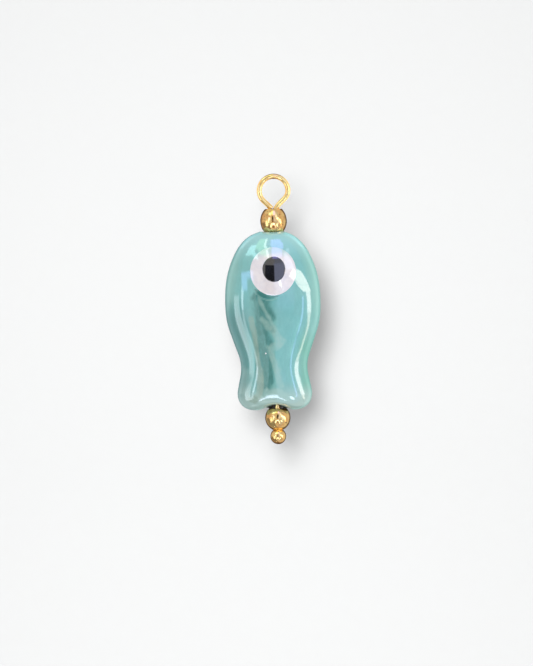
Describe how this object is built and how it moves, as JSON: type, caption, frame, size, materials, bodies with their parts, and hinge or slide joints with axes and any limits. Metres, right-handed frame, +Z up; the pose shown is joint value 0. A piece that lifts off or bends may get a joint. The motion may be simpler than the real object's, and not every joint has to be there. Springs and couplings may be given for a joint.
{
  "type": "evil eye ornament",
  "caption": "Hanging charm: a glazed fish bead with an evil eye on each face, between gold-plated spacer beads on a ball head pin with a turned loop.",
  "frame": {"origin": "centre of the eye of the loop that the ornament hangs from", "axes": "+Z up along the pin, +X to the right seen from the front, and the front of the fish faces -Y; the axis of the loop's eye is Y"},
  "size_m": [0.0133, 0.0086, 0.0378],
  "materials": {
    "gold_plate": "bright gold plating",
    "teal_glaze": "gloss glaze with a pearl lustre",
    "white_enamel": "gloss",
    "black_enamel": "gloss"
  },
  "bodies": {
    "pin": {"head_pin": "gold_plate", "ball_head": "gold_plate"},
    "upper_spacer": {"upper_spacer_bead": "gold_plate"},
    "fish": {"fish_bead": "teal_glaze", "eye_white_front": "white_enamel", "pupil_front": "black_enamel", "eye_white_back": "white_enamel", "pupil_back": "black_enamel"},
    "lower_spacer": {"lower_spacer_bead": "gold_plate"}
  },
  "joints": [
    {"name": "stack_slide", "type": "slide", "parent": "pin", "child": "upper_spacer", "axis": [0, 0, -1], "range_m": [0, 0.0003]},
    {"name": "fish_spin", "type": "hinge", "parent": "upper_spacer", "child": "fish", "pos_m": [-0.0001, 0, -0.018], "axis": [0, 0, 1], "continuous": true},
    {"name": "lower_spacer_spin", "type": "hinge", "parent": "pin", "child": "lower_spacer", "pos_m": [-0.0001, 0, -0.032], "axis": [0, 0, 1], "continuous": true}
  ]
}
